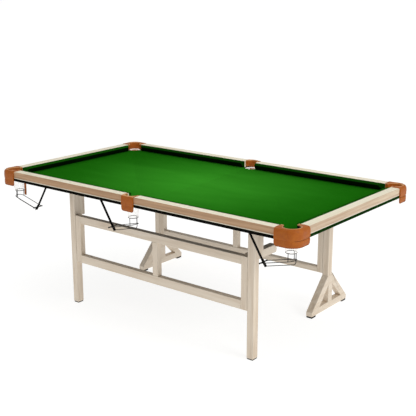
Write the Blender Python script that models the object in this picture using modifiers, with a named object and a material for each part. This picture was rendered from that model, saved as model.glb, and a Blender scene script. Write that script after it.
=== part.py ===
"""Folding pool table: a railed bed with six leather pockets on a fixed rear stand and a folding front frame.

Frame: +X along the long side, +Y towards the rear stand, +Z up, origin under the middle of the whole table.
The front long side, where the ball runners hang, faces -Y. Units are metres.
"""
import math

import bmesh
import bpy
from mathutils import Vector

# ---- driving dimensions ----
LENGTH = 2.100            # over the rails, along X
WIDTH = 1.165             # over the rails, along Y
HEIGHT = 0.803            # floor to rail tops
GAP = 0.0003              # clearance between touching pieces
BODY_SHIFT_Y = -0.031     # puts the middle of the whole object, feet included, on the origin

# bed and rails
RAIL_WIDTH = 0.0537
RAIL_HEIGHT = 0.0402
BED_THICK = 0.0140
CLOTH_THICK = 0.0010
RAIL_EDGE = 0.0025
CUSHION_REACH = 0.0320    # from the rail's inner face to the nose
CUSHION_LOW = 0.0085      # underside above the cloth
CUSHION_DROP = 0.0025     # top below the rail's top
CUSHION_MITRE = 0.0320    # how far a corner end is cut back at the nose
CUSHION_SIDE_MITRE = 0.0100

# corner pockets, measured inwards from both outer faces
CORNER_IN = 0.0574
CORNER_HOLE_R = 0.0430
CORNER_NOTCH_R = 0.0450
CORNER_RUN = 0.1157       # length of rail face that the leather covers
# middle pockets, on the long sides
MIDDLE_IN = 0.0400
MIDDLE_HOLE_R = 0.0385
MIDDLE_NOTCH_R = 0.0405
MIDDLE_HALF = 0.0425
LEATHER_OUT = 0.0060      # how far the leather stands out from the rails
LEATHER_WALL = 0.0055
LEATHER_RISE = 0.0030
LEATHER_DROP = 0.0880     # leather's lower edge below the rail tops
MIDDLE_LIP = 0.0090

# nets and ball runners
CORNER_NET_R = 0.0405
MIDDLE_NET_R = 0.0390
NET_WALL = 0.0012
NET_TOP = HEIGHT - 0.0440
CUP_DEPTH = 0.0540
RING_Z = 0.680
RING_R = 0.0270
WIRE_R = 0.0019
U_WIRE_DROP = 0.0410      # side wires below the ring, under the ring's middle
RUN_SLOPE = math.radians(14.3)
LOW_WIRE_DROP = 0.0620
ELBOW_R = 0.0180          # bend of the low wire below the ring
BAR_LENGTH = 0.0680
BAR_R = 0.0040
STRAP_WIDTH = 0.0150
STRAP_THICK = 0.0030
STRAP_FOOT = (0.1430, -0.1030)    # along the runner and below the ring
STRAP_HEAD_RUN = 0.2490
LOW_WIRE_SHORT = 0.0010            # the low wire stops this far before the strap's foot
LEFT_RUNNER_SHIFT = 0.0360        # the left runner hangs this far inwards
TAB_WIDTH = 0.0180                # leather tab behind the left ring
TAB_THICK = 0.0030
TAB_SHIFT = 0.0280
TAB_DROP = 0.0420
TAB_EDGE = 0.0005

# leg frames
POST_WIDTH = 0.040
POST_DEPTH = 0.044
POST_TOP = HEIGHT - 0.0575
POST_EDGE = 0.0015
LADDER_DEPTH = 0.035
LADDER_SET_BACK = 0.0015
LADDER_GAP = 0.0015
TOP_RAIL_Z = (0.5115, 0.5575)
FRONT_SHIFT_X = 0.0325
FRONT_HALF = 0.6725
FRONT_Y = -0.4155
FRONT_LOW_RAIL_Z = (0.2665, 0.3160)
FRONT_STILE = 0.040
FRONT_MID_STILE = 0.038
FRONT_MID_SHIFT = 0.0015
DOUBLER_DEPTH = 0.0377
DOUBLER_FOOT = 0.5485
GLIDE_HEIGHT = 0.0060
REAR_SHIFT_X = -0.0325
REAR_HALF = 0.6835
REAR_Y = 0.4205
REAR_LOW_RAIL_Z = (0.2270, 0.2600)
REAR_STILE = 0.036
REAR_MID_SHIFT = -0.0020

# A-shaped feet of the rear stand
FOOT_NEAR = 0.2535
FOOT_FAR = 0.6505
FOOT_TOE = 0.0355
FOOT_SEAT = 0.2155
FOOT_BACK = 0.2345
FOOT_POST = (0.4335, 0.4775)
FOOT_OPEN_TOP = 0.158
FOOT_OPEN_LOW = 0.050
FOOT_OPEN_SPAN = (0.336, 0.585)
PAD_HEIGHT = 0.0100
PAD_LENGTH = 0.0440

# hinges and stay
HINGE_DROP = 0.0060
BARREL_R = 0.0050
LEAF_WIDTH = 0.0300
LEAF_THICK = 0.0025
STAY_X = (0.6120, 0.6520)
STAY_END_Y = -0.1330
STAY_HALF = 0.0220
STAY_PIVOT_BACK = 0.0225

# ---- levels and axes that follow ----
RAIL_Z = HEIGHT - RAIL_HEIGHT
CLOTH_TOP = RAIL_Z - GAP
BED_TOP = CLOTH_TOP - CLOTH_THICK - GAP
BED_BOTTOM = BED_TOP - BED_THICK
HINGE_Z = BED_BOTTOM - HINGE_DROP
TILT_Y = REAR_Y + POST_DEPTH + HINGE_DROP
FOLD_Y = FRONT_Y + POST_DEPTH + GAP + DOUBLER_DEPTH + HINGE_DROP
LADDER_BACK = FRONT_Y + LADDER_SET_BACK + LADDER_DEPTH
STAY_Y = LADDER_BACK + STAY_PIVOT_BACK
STAY_Z = sum(TOP_RAIL_Z) / 2
STRAP_RISE = (BED_BOTTOM - 0.0012 - RING_Z - STRAP_FOOT[1]) / (STRAP_HEAD_RUN - STRAP_FOOT[0])
BAR_RUN = (STRAP_RISE * STRAP_FOOT[0] - STRAP_FOOT[1] - U_WIRE_DROP) / (STRAP_RISE + math.tan(RUN_SLOPE))

SCREEN_GREEN = (0.012, 0.105, 0.010)
MATERIALS = {
    "pale_wood": ((0.62, 0.50, 0.38), 0.55, 0.0),
    "board_black": ((0.010, 0.010, 0.009), 0.60, 0.0),
    "green_cloth": (SCREEN_GREEN, 0.90, 0.0),
    "tan_leather": ((0.36, 0.11, 0.028), 0.50, 0.0),
    "white_net": ((0.80, 0.79, 0.75), 0.85, 0.0),
    "dark_wire": ((0.030, 0.030, 0.031), 0.30, 0.0),
    "black_strap": ((0.008, 0.008, 0.008), 0.55, 0.0),
    "steel": ((0.45, 0.45, 0.46), 0.35, 1.0),
}


# ---- helpers ----
def clear_scene():
    for obj in list(bpy.data.objects):
        bpy.data.objects.remove(obj, do_unlink=True)


def make_collection(name):
    group = bpy.data.collections.new(name)
    bpy.context.scene.collection.children.link(group)
    return group


def make_material(name):
    colour, roughness, metallic = MATERIALS[name]
    mat = bpy.data.materials.new(name)
    mat.use_nodes = True
    shader = mat.node_tree.nodes["Principled BSDF"]
    shader.inputs["Base Color"].default_value = (*colour, 1.0)
    shader.inputs["Roughness"].default_value = roughness
    shader.inputs["Metallic"].default_value = metallic
    return mat


def shifted(x, y, z):
    """Table coordinates, measured from the middle of the bed, as world coordinates."""
    return Vector((x, y + BODY_SHIFT_Y, z))


def finish(obj, name, material, parent=None):
    obj.name = name
    obj.data.name = name
    obj.data.materials.clear()
    obj.data.materials.append(MATS[material])
    for group in list(obj.users_collection):
        group.objects.unlink(obj)
    PARTS.objects.link(obj)
    if parent is not None:
        bpy.context.view_layer.update()
        obj.parent = parent
        obj.matrix_parent_inverse = parent.matrix_world.inverted()
    return obj


def link_mesh(bm, name):
    mesh = bpy.data.meshes.new(name)
    bm.to_mesh(mesh)
    bm.free()
    obj = bpy.data.objects.new(name, mesh)
    PARTS.objects.link(obj)
    return obj


def block(low, high, edge=0.0):
    """A box between two corners in table coordinates, with its edges bevelled when edge is given."""
    low = shifted(*low)
    high = shifted(*high)
    bm = bmesh.new()
    bmesh.ops.create_cube(bm, size=1.0)
    bmesh.ops.scale(bm, verts=bm.verts, vec=high - low)
    obj = link_mesh(bm, "block")
    obj.location = (low + high) / 2
    if edge > 0:
        bevel = obj.modifiers.new("edge", "BEVEL")
        bevel.width = edge
        bevel.segments = 1
        bevel.limit_method = "ANGLE"
    return obj


def rod(start, end, radius, sides=12):
    """A capped cylinder between two points in table coordinates."""
    a = shifted(*start)
    b = shifted(*end)
    bm = bmesh.new()
    bmesh.ops.create_cone(bm, cap_ends=True, segments=sides, radius1=radius, radius2=radius,
                          depth=(b - a).length)
    obj = link_mesh(bm, "rod")
    obj.location = (a + b) / 2
    obj.rotation_mode = "QUATERNION"
    obj.rotation_quaternion = (b - a).to_track_quat("Z", "Y")
    return obj


def plate(outlines, low, high):
    """A horizontal plate: closed outlines in table X and Y, the first outer and the rest holes."""
    curve = bpy.data.curves.new("plate", "CURVE")
    curve.dimensions = "2D"
    curve.fill_mode = "BOTH"
    curve.extrude = (high - low) / 2
    for outline in outlines:
        spline = curve.splines.new("POLY")
        spline.points.add(len(outline) - 1)
        for point, (x, y) in zip(spline.points, outline):
            point.co = (x, y, 0.0, 1.0)
        spline.use_cyclic_u = True
    obj = bpy.data.objects.new("plate", curve)
    PARTS.objects.link(obj)
    obj.location = shifted(0.0, 0.0, (low + high) / 2)
    return obj


def upright_plate(outlines, low_x, high_x):
    """A plate that stands along X: outlines in table Y and Z."""
    obj = plate(outlines, low_x, high_x)
    obj.location = shifted((low_x + high_x) / 2, 0.0, 0.0)
    obj.rotation_euler = (math.pi / 2, 0.0, math.pi / 2)
    return obj


def wire(points, radius, cyclic=False):
    """A round wire through points in table coordinates."""
    curve = bpy.data.curves.new("wire", "CURVE")
    curve.dimensions = "3D"
    curve.bevel_depth = radius
    curve.bevel_resolution = 2
    curve.use_fill_caps = True
    spline = curve.splines.new("POLY")
    spline.points.add(len(points) - 1)
    for point, co in zip(spline.points, points):
        point.co = (*shifted(*co), 1.0)
    spline.use_cyclic_u = cyclic
    obj = bpy.data.objects.new("wire", curve)
    PARTS.objects.link(obj)
    return obj


def as_mesh(obj):
    """The object's evaluated shape as a plain welded mesh object in world space."""
    bpy.context.view_layer.update()
    evaluated = obj.evaluated_get(bpy.context.evaluated_depsgraph_get())
    mesh = bpy.data.meshes.new_from_object(evaluated)
    bm = bmesh.new()
    bm.from_mesh(mesh)
    bmesh.ops.transform(bm, matrix=obj.matrix_world, verts=bm.verts)
    bmesh.ops.remove_doubles(bm, verts=bm.verts, dist=0.00002)
    bmesh.ops.recalc_face_normals(bm, faces=bm.faces)
    bm.to_mesh(mesh)
    bm.free()
    result = bpy.data.objects.new(obj.name, mesh)
    PARTS.objects.link(result)
    bpy.data.objects.remove(obj, do_unlink=True)
    return result


def union(pieces):
    """One closed body from overlapping pieces."""
    body = as_mesh(pieces[0])
    for piece in pieces[1:]:
        tool = as_mesh(piece)
        join = body.modifiers.new("join", "BOOLEAN")
        join.operation = "UNION"
        join.solver = "EXACT"
        join.object = tool
        bpy.context.view_layer.update()
        evaluated = body.evaluated_get(bpy.context.evaluated_depsgraph_get())
        mesh = bpy.data.meshes.new_from_object(evaluated)
        body.modifiers.clear()
        body.data = mesh
        bpy.data.objects.remove(tool, do_unlink=True)
    return body


def round_off(obj):
    obj.data.shade_smooth()
    obj.data.set_sharp_from_angle(angle=math.radians(40))
    return obj


def arc(centre, radius, start_deg, end_deg, steps):
    """Points on an arc, both ends included."""
    points = []
    for i in range(steps + 1):
        angle = math.radians(start_deg + (end_deg - start_deg) * i / steps)
        points.append((centre[0] + radius * math.cos(angle), centre[1] + radius * math.sin(angle)))
    return points


def mirrored(points, sx, sy):
    """Points of the (+X, -Y) corner moved to the corner with signs sx and sy."""
    return [(x * sx, -y * sy) for x, y in points]


# ---- bed ----
def corner_point(u, v):
    """Distances inwards from the outer faces of the (+X, -Y) corner, as table X and Y."""
    return (LENGTH / 2 - u, -WIDTH / 2 + v)


def bed_outline(notch_corner, notch_middle):
    """Outline of the board, anticlockwise, with a notch at every pocket."""
    def corner(sx, sy):
        """The corner notch, in the order that it is met going anticlockwise round the (+X, -Y) corner."""
        centre = corner_point(CORNER_IN, CORNER_IN)
        points = [corner_point(CORNER_IN + notch_corner, 0.0)]
        points += arc(centre, notch_corner, 180, 90, 8)
        points.append(corner_point(0.0, CORNER_IN + notch_corner))
        points = mirrored(points, sx, sy)
        return points if sx * -sy > 0 else points[::-1]

    def middle(sy):
        y = sy * WIDTH / 2
        centre = (0.0, y - sy * MIDDLE_IN)
        bend = arc(centre, notch_middle, 180, 0, 10) if sy < 0 else arc(centre, notch_middle, 0, -180, 10)
        first = (-notch_middle, y) if sy < 0 else (notch_middle, y)
        return [first, *bend, (-first[0], y)]

    return middle(-1) + corner(1, -1) + corner(1, 1) + middle(1) + corner(-1, 1) + corner(-1, -1)


def build_bed(top):
    outline = bed_outline(CORNER_NOTCH_R, MIDDLE_NOTCH_R)
    board = as_mesh(plate([outline], BED_BOTTOM, BED_TOP))
    finish(board, "bed_board", "board_black", top)
    cloth = as_mesh(plate([outline], BED_TOP + GAP, CLOTH_TOP))
    finish(cloth, "bed_cloth", "green_cloth", top)


def build_long_sides(top):
    """Two rails and two cushions on each long side."""
    inner = CORNER_RUN + GAP
    face = WIDTH / 2 - RAIL_WIDTH
    for side, sy in (("front", -1), ("back", 1)):
        for end, sx in (("left", -1), ("right", 1)):
            x_far = LENGTH / 2 - inner
            x_near = MIDDLE_HALF + GAP
            xs = sorted((sx * x_near, sx * x_far))
            ys = sorted((sy * WIDTH / 2, sy * face))
            rail = block((xs[0], ys[0], RAIL_Z), (xs[1], ys[1], HEIGHT), RAIL_EDGE)
            finish(rail, f"rail_{side}_{end}", "pale_wood", top)
            back = sy * (face - GAP)
            nose = sy * (face - CUSHION_REACH)
            plan = [(sx * x_far, back), (sx * x_near, back),
                    (sx * (x_near + CUSHION_SIDE_MITRE), nose), (sx * (x_far - CUSHION_MITRE), nose)]
            cushion = plate([plan], CLOTH_TOP + CUSHION_LOW, HEIGHT - CUSHION_DROP)
            finish(as_mesh(cushion), f"cushion_{side}_{end}", "green_cloth", top)


def build_short_sides(top):
    """One rail and one cushion on each short side."""
    reach = WIDTH / 2 - CORNER_RUN - GAP
    face = LENGTH / 2 - RAIL_WIDTH
    for end, sx in (("left", -1), ("right", 1)):
        xs = sorted((sx * LENGTH / 2, sx * face))
        rail = block((xs[0], -reach, RAIL_Z), (xs[1], reach, HEIGHT), RAIL_EDGE)
        finish(rail, f"rail_{end}", "pale_wood", top)
        back = sx * (face - GAP)
        nose = sx * (face - CUSHION_REACH)
        tip = reach - CUSHION_MITRE
        plan = [(back, -reach), (back, reach), (nose, tip), (nose, -tip)]
        cushion = plate([plan], CLOTH_TOP + CUSHION_LOW, HEIGHT - CUSHION_DROP)
        finish(as_mesh(cushion), f"cushion_{end}", "green_cloth", top)


# ---- pockets ----
def corner_leather(sx, sy):
    """A skirt round the corner, with a pad round the hole that sits on the bed between the rail ends."""
    centre = corner_point(CORNER_IN, CORNER_IN)

    def band(offset, run):
        """The outer face's line, moved outwards by offset, from the long side round to the short side."""
        points = [corner_point(run, -offset)]
        points += arc(centre, CORNER_IN + offset, -90, 0, 10)
        points.append(corner_point(-offset, run))
        return points

    skirt = band(LEATHER_OUT, CORNER_RUN) + band(LEATHER_OUT - LEATHER_WALL, CORNER_RUN)[::-1]
    pad_run = CORNER_RUN - 0.0005
    seat = CORNER_IN - 0.001
    hole = arc(centre, CORNER_HOLE_R, 90 - 1.5, -180 + 1.5, 18)
    pad = band(LEATHER_OUT - 0.0015, pad_run)
    pad += [corner_point(seat, pad_run), *hole, corner_point(pad_run, seat)]
    top = HEIGHT + LEATHER_RISE
    pieces = [plate([mirrored(skirt, sx, sy)], HEIGHT - LEATHER_DROP, top),
              plate([mirrored(pad, sx, sy)], RAIL_Z, top - 0.0005)]
    return union(pieces)


def middle_leather(sy):
    """A flat skirt with a pad round the hole, between the two rails of a long side."""
    outer = -WIDTH / 2 - LEATHER_OUT
    inner = outer + LEATHER_WALL
    half = MIDDLE_HALF
    skirt = [(-half, outer), (half, outer), (half, inner), (-half, inner)]
    centre_y = -WIDTH / 2 + MIDDLE_IN
    lip = -WIDTH / 2 + MIDDLE_LIP - LEATHER_OUT
    half_angle = math.degrees(math.asin((centre_y - lip) / MIDDLE_HOLE_R))
    hole = arc((0.0, centre_y), MIDDLE_HOLE_R, 0, -half_angle, 6)
    hole += arc((0.0, centre_y), MIDDLE_HOLE_R, half_angle - 180, -180, 6)
    inside = half - 0.0005
    pad = [(-inside, outer + 0.0015), (inside, outer + 0.0015), (inside, centre_y), *hole, (-inside, centre_y)]
    top = HEIGHT + LEATHER_RISE
    pieces = [plate([mirrored(skirt, 1, sy)], HEIGHT - LEATHER_DROP + 0.003, top),
              plate([mirrored(pad, 1, sy)], RAIL_Z, top - 0.0005)]
    return union(pieces)


def net_sleeve(centre, top_radius, shift):
    """An open net funnel from the bed hole down to the runner's ring."""
    x, y = centre
    bottom = RING_Z + WIRE_R + GAP
    depth = NET_TOP - bottom
    bm = bmesh.new()
    bmesh.ops.create_cone(bm, cap_ends=False, segments=20, radius1=RING_R, radius2=top_radius, depth=depth)
    low = [v for v in bm.verts if v.co.z < 0]
    bmesh.ops.translate(bm, verts=low, vec=(shift, 0.0, 0.0))
    obj = link_mesh(bm, "sleeve")
    obj.location = shifted(x, y, bottom + depth / 2)
    return with_wall(obj)


def net_cup(centre, top_radius):
    """A shallow closed net cup under a pocket that has no runner."""
    bm = bmesh.new()
    steps = 5
    profile = [bm.verts.new((top_radius, 0.0, 0.0))]
    for i in range(steps + 1):
        angle = math.pi / 2 * i / steps
        radius = top_radius * math.cos(angle) * 0.96
        profile.append(bm.verts.new((radius, 0.0, -CUP_DEPTH * (0.35 + 0.65 * math.sin(angle)))))
    for a, b in zip(profile, profile[1:]):
        bm.edges.new((a, b))
    obj = link_mesh(bm, "cup")
    obj.location = shifted(*centre, NET_TOP)
    turn = obj.modifiers.new("turn", "SCREW")
    turn.steps = 20
    turn.render_steps = 20
    turn.use_merge_vertices = True
    turn.merge_threshold = 0.0001
    return with_wall(obj)


def with_wall(obj):
    wall = obj.modifiers.new("wall", "SOLIDIFY")
    wall.thickness = NET_WALL
    wall.offset = -1.0
    return obj


POCKETS = {
    "front_left": ((-LENGTH / 2 + CORNER_IN, -WIDTH / 2 + CORNER_IN), -1, -1),
    "front_middle": ((0.0, -WIDTH / 2 + MIDDLE_IN), 0, -1),
    "front_right": ((LENGTH / 2 - CORNER_IN, -WIDTH / 2 + CORNER_IN), 1, -1),
    "back_left": ((-LENGTH / 2 + CORNER_IN, WIDTH / 2 - CORNER_IN), -1, 1),
    "back_middle": ((0.0, WIDTH / 2 - MIDDLE_IN), 0, 1),
    "back_right": ((LENGTH / 2 - CORNER_IN, WIDTH / 2 - CORNER_IN), 1, 1),
}
# runner: direction along X in which balls roll, and how far its ring hangs off the pocket's centre
RUNNERS = {"front_left": (1, LEFT_RUNNER_SHIFT), "front_middle": (-1, 0.0), "front_right": (-1, 0.0)}


def build_pockets(top):
    for name, (centre, sx, sy) in POCKETS.items():
        leather = middle_leather(sy) if sx == 0 else corner_leather(sx, sy)
        finish(leather, f"leather_{name}", "tan_leather", top)
        radius = MIDDLE_NET_R if sx == 0 else CORNER_NET_R
        net = net_sleeve(centre, radius, RUNNERS[name][1]) if name in RUNNERS else net_cup(centre, radius)
        finish(as_mesh(net), f"net_{name}", "white_net", top)


def side_wire_z(run):
    """Height of the runner's side wires at a distance along the run from the ring's middle."""
    return RING_Z - U_WIRE_DROP - run * math.tan(RUN_SLOPE)


def build_runner(name, top):
    """Ring, three uprights, a U-shaped side wire and a low wire, joined into one welded frame."""
    (x0, y0), _, _ = POCKETS[name]
    way, shift = RUNNERS[name]
    x0 += shift

    def at(run, across, z):
        return (x0 + way * run, y0 + across, z)

    ring = [at(x, y, RING_Z) for x, y in arc((0.0, 0.0), RING_R, 0, 342, 19)]
    end = BAR_RUN - BAR_R - 2 * GAP
    bend = arc((0.0, 0.0), RING_R, 90, 270, 10)
    u_points = [(end, RING_R), *bend, (end, -RING_R)]
    u_wire = [at(run, across, side_wire_z(run)) for run, across in u_points]
    low_end = STRAP_FOOT[0] - LOW_WIRE_SHORT
    elbow_z = RING_Z - LOW_WIRE_DROP + RING_R * math.tan(RUN_SLOPE) * 0.4 + ELBOW_R * 0.95
    elbow_centre = (-RING_R + ELBOW_R, elbow_z)
    curve = arc(elbow_centre, ELBOW_R, 180, 270 - math.degrees(RUN_SLOPE), 5)
    outer = [at(-RING_R, 0.0, RING_Z), *[at(run, 0.0, z) for run, z in curve]]
    last_run, last_z = curve[-1]
    outer.append(at(low_end, 0.0, last_z - (low_end - last_run) * math.tan(RUN_SLOPE)))
    uprights = [[at(0.0, side, RING_Z), at(0.0, side, side_wire_z(0.0))] for side in (-RING_R, RING_R)]
    pieces = [wire(ring, WIRE_R, cyclic=True), wire(u_wire, WIRE_R), wire(outer, WIRE_R * 1.1)]
    pieces += [wire(points, WIRE_R * 0.95) for points in uprights]
    finish(round_off(union(pieces)), f"runner_{name}", "dark_wire", top)


def build_hanger(name, top):
    """The strap that holds the runner's low end up to the bed, with the cross bar that the wires meet."""
    (x0, y0), _, _ = POCKETS[name]
    way, shift = RUNNERS[name]
    x0 += shift
    run, drop = STRAP_FOOT
    foot = Vector((x0 + way * run, y0, RING_Z + drop))
    head = Vector((x0 + way * STRAP_HEAD_RUN, y0, BED_BOTTOM - 0.0012))
    line = head - foot
    bm = bmesh.new()
    bmesh.ops.create_cube(bm, size=1.0)
    bmesh.ops.scale(bm, verts=bm.verts, vec=(STRAP_THICK, STRAP_WIDTH, line.length))
    strap = link_mesh(bm, "strap")
    strap.location = shifted(*((foot + head) / 2))
    strap.rotation_euler = (0.0, math.atan2(line.x, line.z), 0.0)
    x_bar = x0 + way * BAR_RUN
    z_bar = side_wire_z(BAR_RUN)
    bar = rod((x_bar, y0 - BAR_LENGTH / 2, z_bar), (x_bar, y0 + BAR_LENGTH / 2, z_bar), BAR_R, 10)
    finish(union([strap, bar]), f"hanger_{name}", "black_strap", top)


def build_tab(top):
    """The leather tab that steadies the left runner from under the bed."""
    (x0, y0), _, _ = POCKETS["front_left"]
    x = x0 + TAB_SHIFT
    y = y0 + CORNER_NOTCH_R
    half = TAB_WIDTH / 2
    tab = block((x - half, y, RING_Z - TAB_DROP), (x + half, y + TAB_THICK, BED_BOTTOM - GAP), TAB_EDGE)
    finish(tab, "tab_front_left", "tan_leather", top)


# ---- leg frames ----
def build_front_frame(frame):
    left = FRONT_SHIFT_X - FRONT_HALF
    right = FRONT_SHIFT_X + FRONT_HALF
    y0, y1 = FRONT_Y, FRONT_Y + POST_DEPTH
    for end, x in (("left", left), ("right", right - POST_WIDTH)):
        leg = block((x, y0, GLIDE_HEIGHT + GAP), (x + POST_WIDTH, y1, POST_TOP), POST_EDGE)
        finish(leg, f"front_leg_{end}", "pale_wood", frame)
        doubler_back = y1 + GAP + DOUBLER_DEPTH
        doubler = block((x, y1 + GAP, DOUBLER_FOOT), (x + POST_WIDTH, doubler_back, POST_TOP), POST_EDGE)
        finish(doubler, f"front_doubler_{end}", "pale_wood", frame)
        glide = block((x + 0.002, y0 + 0.002, 0.0), (x + POST_WIDTH - 0.002, y1 - 0.002, GLIDE_HEIGHT), 0.001)
        finish(glide, f"front_glide_{end}", "black_strap", frame)
    build_ladder("front", frame, left, right, FRONT_Y, FRONT_STILE, FRONT_LOW_RAIL_Z,
                 FRONT_MID_STILE, FRONT_SHIFT_X + FRONT_MID_SHIFT)


def build_ladder(name, frame, left, right, front, stile, low_rail, mid_width, mid_x):
    """Two rails and three stiles between a pair of posts."""
    y0 = front + LADDER_SET_BACK
    y1 = y0 + LADDER_DEPTH
    in_left = left + POST_WIDTH + LADDER_GAP
    in_right = right - POST_WIDTH - LADDER_GAP
    for end, x in (("left", in_left), ("right", in_right - stile)):
        piece = block((x, y0, low_rail[0]), (x + stile, y1, TOP_RAIL_Z[1]), POST_EDGE)
        finish(piece, f"{name}_stile_{end}", "pale_wood", frame)
    x0 = in_left + stile + GAP
    x1 = in_right - stile - GAP
    for label, (z0, z1) in (("low", low_rail), ("top", TOP_RAIL_Z)):
        piece = block((x0, y0, z0), (x1, y1, z1), POST_EDGE)
        finish(piece, f"{name}_rail_{label}", "pale_wood", frame)
    middle = block((mid_x - mid_width / 2, y0, low_rail[1] + GAP),
                   (mid_x + mid_width / 2, y1, TOP_RAIL_Z[0] - GAP), POST_EDGE)
    finish(middle, f"{name}_stile_middle", "pale_wood", frame)


def foot_outlines():
    """A-shaped foot in table Y and Z: the outline and its two triangular openings."""
    low = PAD_HEIGHT + GAP
    seat_back = REAR_Y + POST_DEPTH + GAP
    outline = [(FOOT_NEAR, low), (FOOT_FAR, low), (FOOT_FAR, FOOT_TOE), (seat_back, FOOT_BACK),
               (seat_back, FOOT_SEAT), (REAR_Y, FOOT_SEAT), (FOOT_NEAR, FOOT_TOE)]
    near = [(FOOT_OPEN_SPAN[0], FOOT_OPEN_LOW), (FOOT_POST[0], FOOT_OPEN_LOW), (FOOT_POST[0], FOOT_OPEN_TOP)]
    far = [(FOOT_POST[1], FOOT_OPEN_LOW), (FOOT_OPEN_SPAN[1], FOOT_OPEN_LOW), (FOOT_POST[1], FOOT_OPEN_TOP)]
    return [outline, near, far]


def build_rear_stand(frame):
    left = REAR_SHIFT_X - REAR_HALF
    right = REAR_SHIFT_X + REAR_HALF
    y0, y1 = REAR_Y, REAR_Y + POST_DEPTH
    for end, x in (("left", left), ("right", right - POST_WIDTH)):
        leg = block((x, y0, FOOT_SEAT + GAP), (x + POST_WIDTH, y1, POST_TOP), POST_EDGE)
        finish(leg, f"rear_leg_{end}", "pale_wood", frame)
        foot = as_mesh(upright_plate(foot_outlines(), x, x + POST_WIDTH))
        finish(foot, f"rear_foot_{end}", "pale_wood", frame)
        for side, y in (("near", FOOT_NEAR + 0.002), ("far", FOOT_FAR - 0.002 - PAD_LENGTH)):
            pad = block((x + 0.001, y, 0.0), (x + POST_WIDTH - 0.001, y + PAD_LENGTH, PAD_HEIGHT), 0.001)
            finish(pad, f"rear_pad_{end}_{side}", "black_strap", frame)
    build_ladder("rear", frame, left, right, REAR_Y, REAR_STILE, REAR_LOW_RAIL_Z,
                 REAR_STILE, REAR_SHIFT_X + REAR_MID_SHIFT)


def build_hinge(name, y, left, right, top):
    """A long barrel with the leaf that screws up under the bed."""
    barrel = rod((left, y, HINGE_Z), (right, y, HINGE_Z), BARREL_R, 14)
    leaf_top = BED_BOTTOM - GAP
    leaf = block((left + 0.001, y, leaf_top - LEAF_THICK), (right - 0.001, y + LEAF_WIDTH, leaf_top))
    finish(union([barrel, leaf]), name, "steel", top)


def build_stay(stay):
    """The side stay behind the right front leg, rounded about its pivot."""
    outline = arc((STAY_Y, STAY_Z), STAY_HALF, 90, 270, 8)
    outline += [(STAY_END_Y, STAY_Z - STAY_HALF), (STAY_END_Y, STAY_Z + STAY_HALF)]
    arm = as_mesh(upright_plate([outline[::-1]], *STAY_X))
    finish(arm, "stay_right", "pale_wood", stay)


def axis_empty(name, y, z, parent=None):
    empty = bpy.data.objects.new(name, None)
    PARTS.objects.link(empty)
    empty.location = shifted(0.0, y, z)
    bpy.context.view_layer.update()
    if parent is not None:
        empty.parent = parent
        empty.matrix_parent_inverse = parent.matrix_world.inverted()
        bpy.context.view_layer.update()
    return empty


clear_scene()
PARTS = make_collection("folding_pool_table")
MATS = {key: make_material(key) for key in MATERIALS}

stand = axis_empty("rear_stand_base", REAR_Y, 0.0)
tilt = axis_empty("tilt_axis", TILT_Y, HINGE_Z, stand)
fold = axis_empty("fold_axis", FOLD_Y, HINGE_Z, tilt)
stay_axis = axis_empty("stay_axis", STAY_Y, STAY_Z, fold)

build_bed(tilt)
build_long_sides(tilt)
build_short_sides(tilt)
build_pockets(tilt)
for pocket in RUNNERS:
    build_runner(pocket, tilt)
    build_hanger(pocket, tilt)
build_tab(tilt)
build_hinge("front_hinge", FOLD_Y, FRONT_SHIFT_X - FRONT_HALF, FRONT_SHIFT_X + FRONT_HALF, tilt)
build_hinge("rear_hinge", TILT_Y, REAR_SHIFT_X - REAR_HALF, REAR_SHIFT_X + REAR_HALF, tilt)
build_front_frame(fold)
build_stay(stay_axis)
build_rear_stand(stand)
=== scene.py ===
import math
import random

import bmesh
import bpy
from mathutils import Euler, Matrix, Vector


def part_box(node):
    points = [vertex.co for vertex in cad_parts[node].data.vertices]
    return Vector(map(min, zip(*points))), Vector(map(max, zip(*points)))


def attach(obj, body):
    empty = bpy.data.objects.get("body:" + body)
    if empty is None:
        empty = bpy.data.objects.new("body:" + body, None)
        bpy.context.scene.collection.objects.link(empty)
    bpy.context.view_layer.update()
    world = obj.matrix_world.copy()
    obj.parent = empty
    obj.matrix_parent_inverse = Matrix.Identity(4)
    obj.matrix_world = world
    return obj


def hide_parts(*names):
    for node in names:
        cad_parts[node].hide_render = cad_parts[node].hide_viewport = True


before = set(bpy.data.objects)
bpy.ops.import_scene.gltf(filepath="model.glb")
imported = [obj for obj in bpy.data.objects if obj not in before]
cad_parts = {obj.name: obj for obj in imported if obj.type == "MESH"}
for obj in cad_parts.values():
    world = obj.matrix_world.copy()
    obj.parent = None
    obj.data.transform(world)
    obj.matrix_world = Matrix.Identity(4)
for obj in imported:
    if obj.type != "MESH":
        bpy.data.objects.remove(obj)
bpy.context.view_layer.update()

random.seed(11)

# ---------------------------------------------------------------- driving positions, from the frame
BOARD_LOW, BOARD_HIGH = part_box("bed_board")
HALF_L = (BOARD_HIGH[0] - BOARD_LOW[0]) / 2
HALF_W = (BOARD_HIGH[1] - BOARD_LOW[1]) / 2
MID_Y = (BOARD_HIGH[1] + BOARD_LOW[1]) / 2
BED_Z = BOARD_LOW[2]
CLOTH_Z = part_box("bed_cloth")[1][2]
RAIL_LOW, RAIL_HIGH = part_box("rail_left")
TOP_Z = RAIL_HIGH[2]
RAIL_Z = RAIL_LOW[2]
RAIL_WIDE = RAIL_HIGH[0] - RAIL_LOW[0]
SKIRT_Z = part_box("leather_front_right")[0][2]
LEATHER_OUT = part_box("leather_front_right")[1][0] - HALF_L
CUSHION_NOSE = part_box("cushion_right")
CUSHION_REACH = CUSHION_NOSE[1][0] - CUSHION_NOSE[0][0]

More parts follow.
